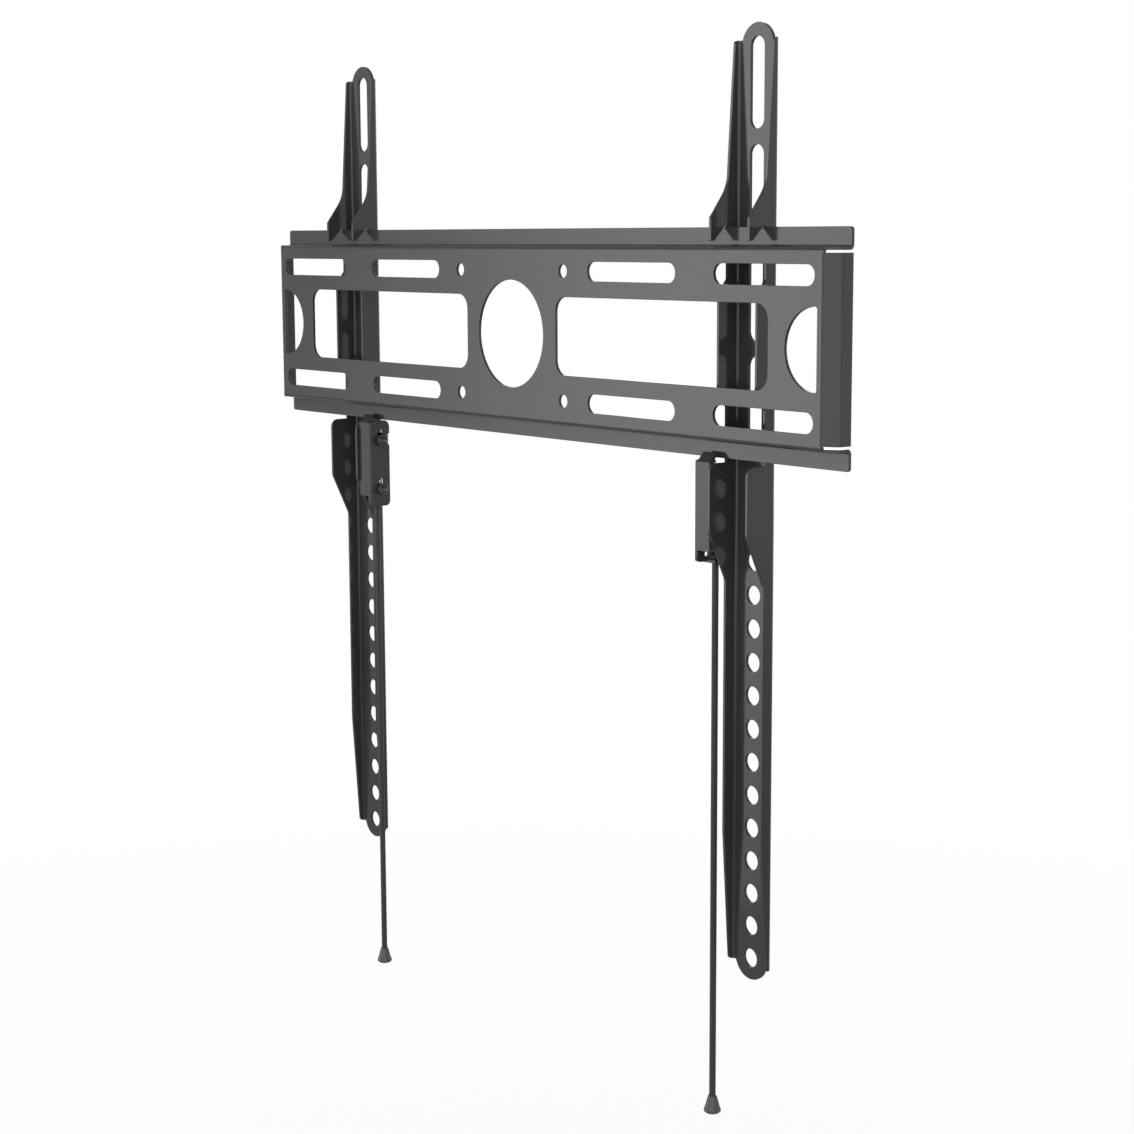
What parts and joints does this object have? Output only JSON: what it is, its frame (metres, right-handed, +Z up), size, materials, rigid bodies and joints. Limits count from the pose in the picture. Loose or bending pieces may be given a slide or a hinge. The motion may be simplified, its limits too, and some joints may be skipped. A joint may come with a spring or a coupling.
{
  "type": "tv mount",
  "caption": "Flat wall mount for a screen: a folded wall plate with rails, hook-on arms that slide along it, and spring latches released by pull cords.",
  "frame": {"origin": "middle of the wall plate's screw holes, on the face that lies on the wall", "axes": "+X along the wall, +Y from the wall towards the screen, +Z up"},
  "size_m": [0.4368, 0.0189, 0.4865],
  "materials": {
    "coated_steel": "satin dark grey powder coat",
    "rivet_steel": "dark coated steel",
    "spring_steel": "drawn spring wire",
    "cord": "dark grey braid",
    "bead_plastic": "moulded dark grey plastic"
  },
  "bodies": {
    "wall_plate": {"wall_plate": "coated_steel"},
    "left_arm": {"left_arm": "coated_steel", "left_upper_rivet": "rivet_steel", "left_lower_rivet": "rivet_steel", "left_upper_spacer": "rivet_steel", "left_lower_spacer": "rivet_steel", "left_latch_spring": "spring_steel"},
    "left_latch": {"left_latch": "coated_steel", "left_cord_knot": "cord", "left_pull_cord": "cord", "left_pull_bead": "bead_plastic"},
    "right_arm": {"right_arm": "coated_steel", "right_upper_rivet": "rivet_steel", "right_lower_rivet": "rivet_steel", "right_upper_spacer": "rivet_steel", "right_lower_spacer": "rivet_steel", "right_latch_spring": "spring_steel"},
    "right_latch": {"right_latch": "coated_steel", "right_cord_knot": "cord", "right_pull_cord": "cord", "right_pull_bead": "bead_plastic"}
  },
  "joints": [
    {"name": "left_arm_slide", "type": "slide", "parent": "wall_plate", "child": "left_arm", "axis": [1, 0, 0], "range_m": [-0.049, 0.1255]},
    {"name": "left_latch_slide", "type": "slide", "parent": "left_arm", "child": "left_latch", "axis": [0, 0, 1], "range_m": [-0.0045, 0], "stiffness_N_per_m": 300, "springref_m": 0.01, "deforming": ["left_latch_spring"]},
    {"name": "right_arm_slide", "type": "slide", "parent": "wall_plate", "child": "right_arm", "axis": [1, 0, 0], "range_m": [-0.1255, 0.049]},
    {"name": "right_latch_slide", "type": "slide", "parent": "right_arm", "child": "right_latch", "axis": [0, 0, 1], "range_m": [-0.0045, 0], "stiffness_N_per_m": 300, "springref_m": 0.01, "deforming": ["right_latch_spring"]}
  ]
}
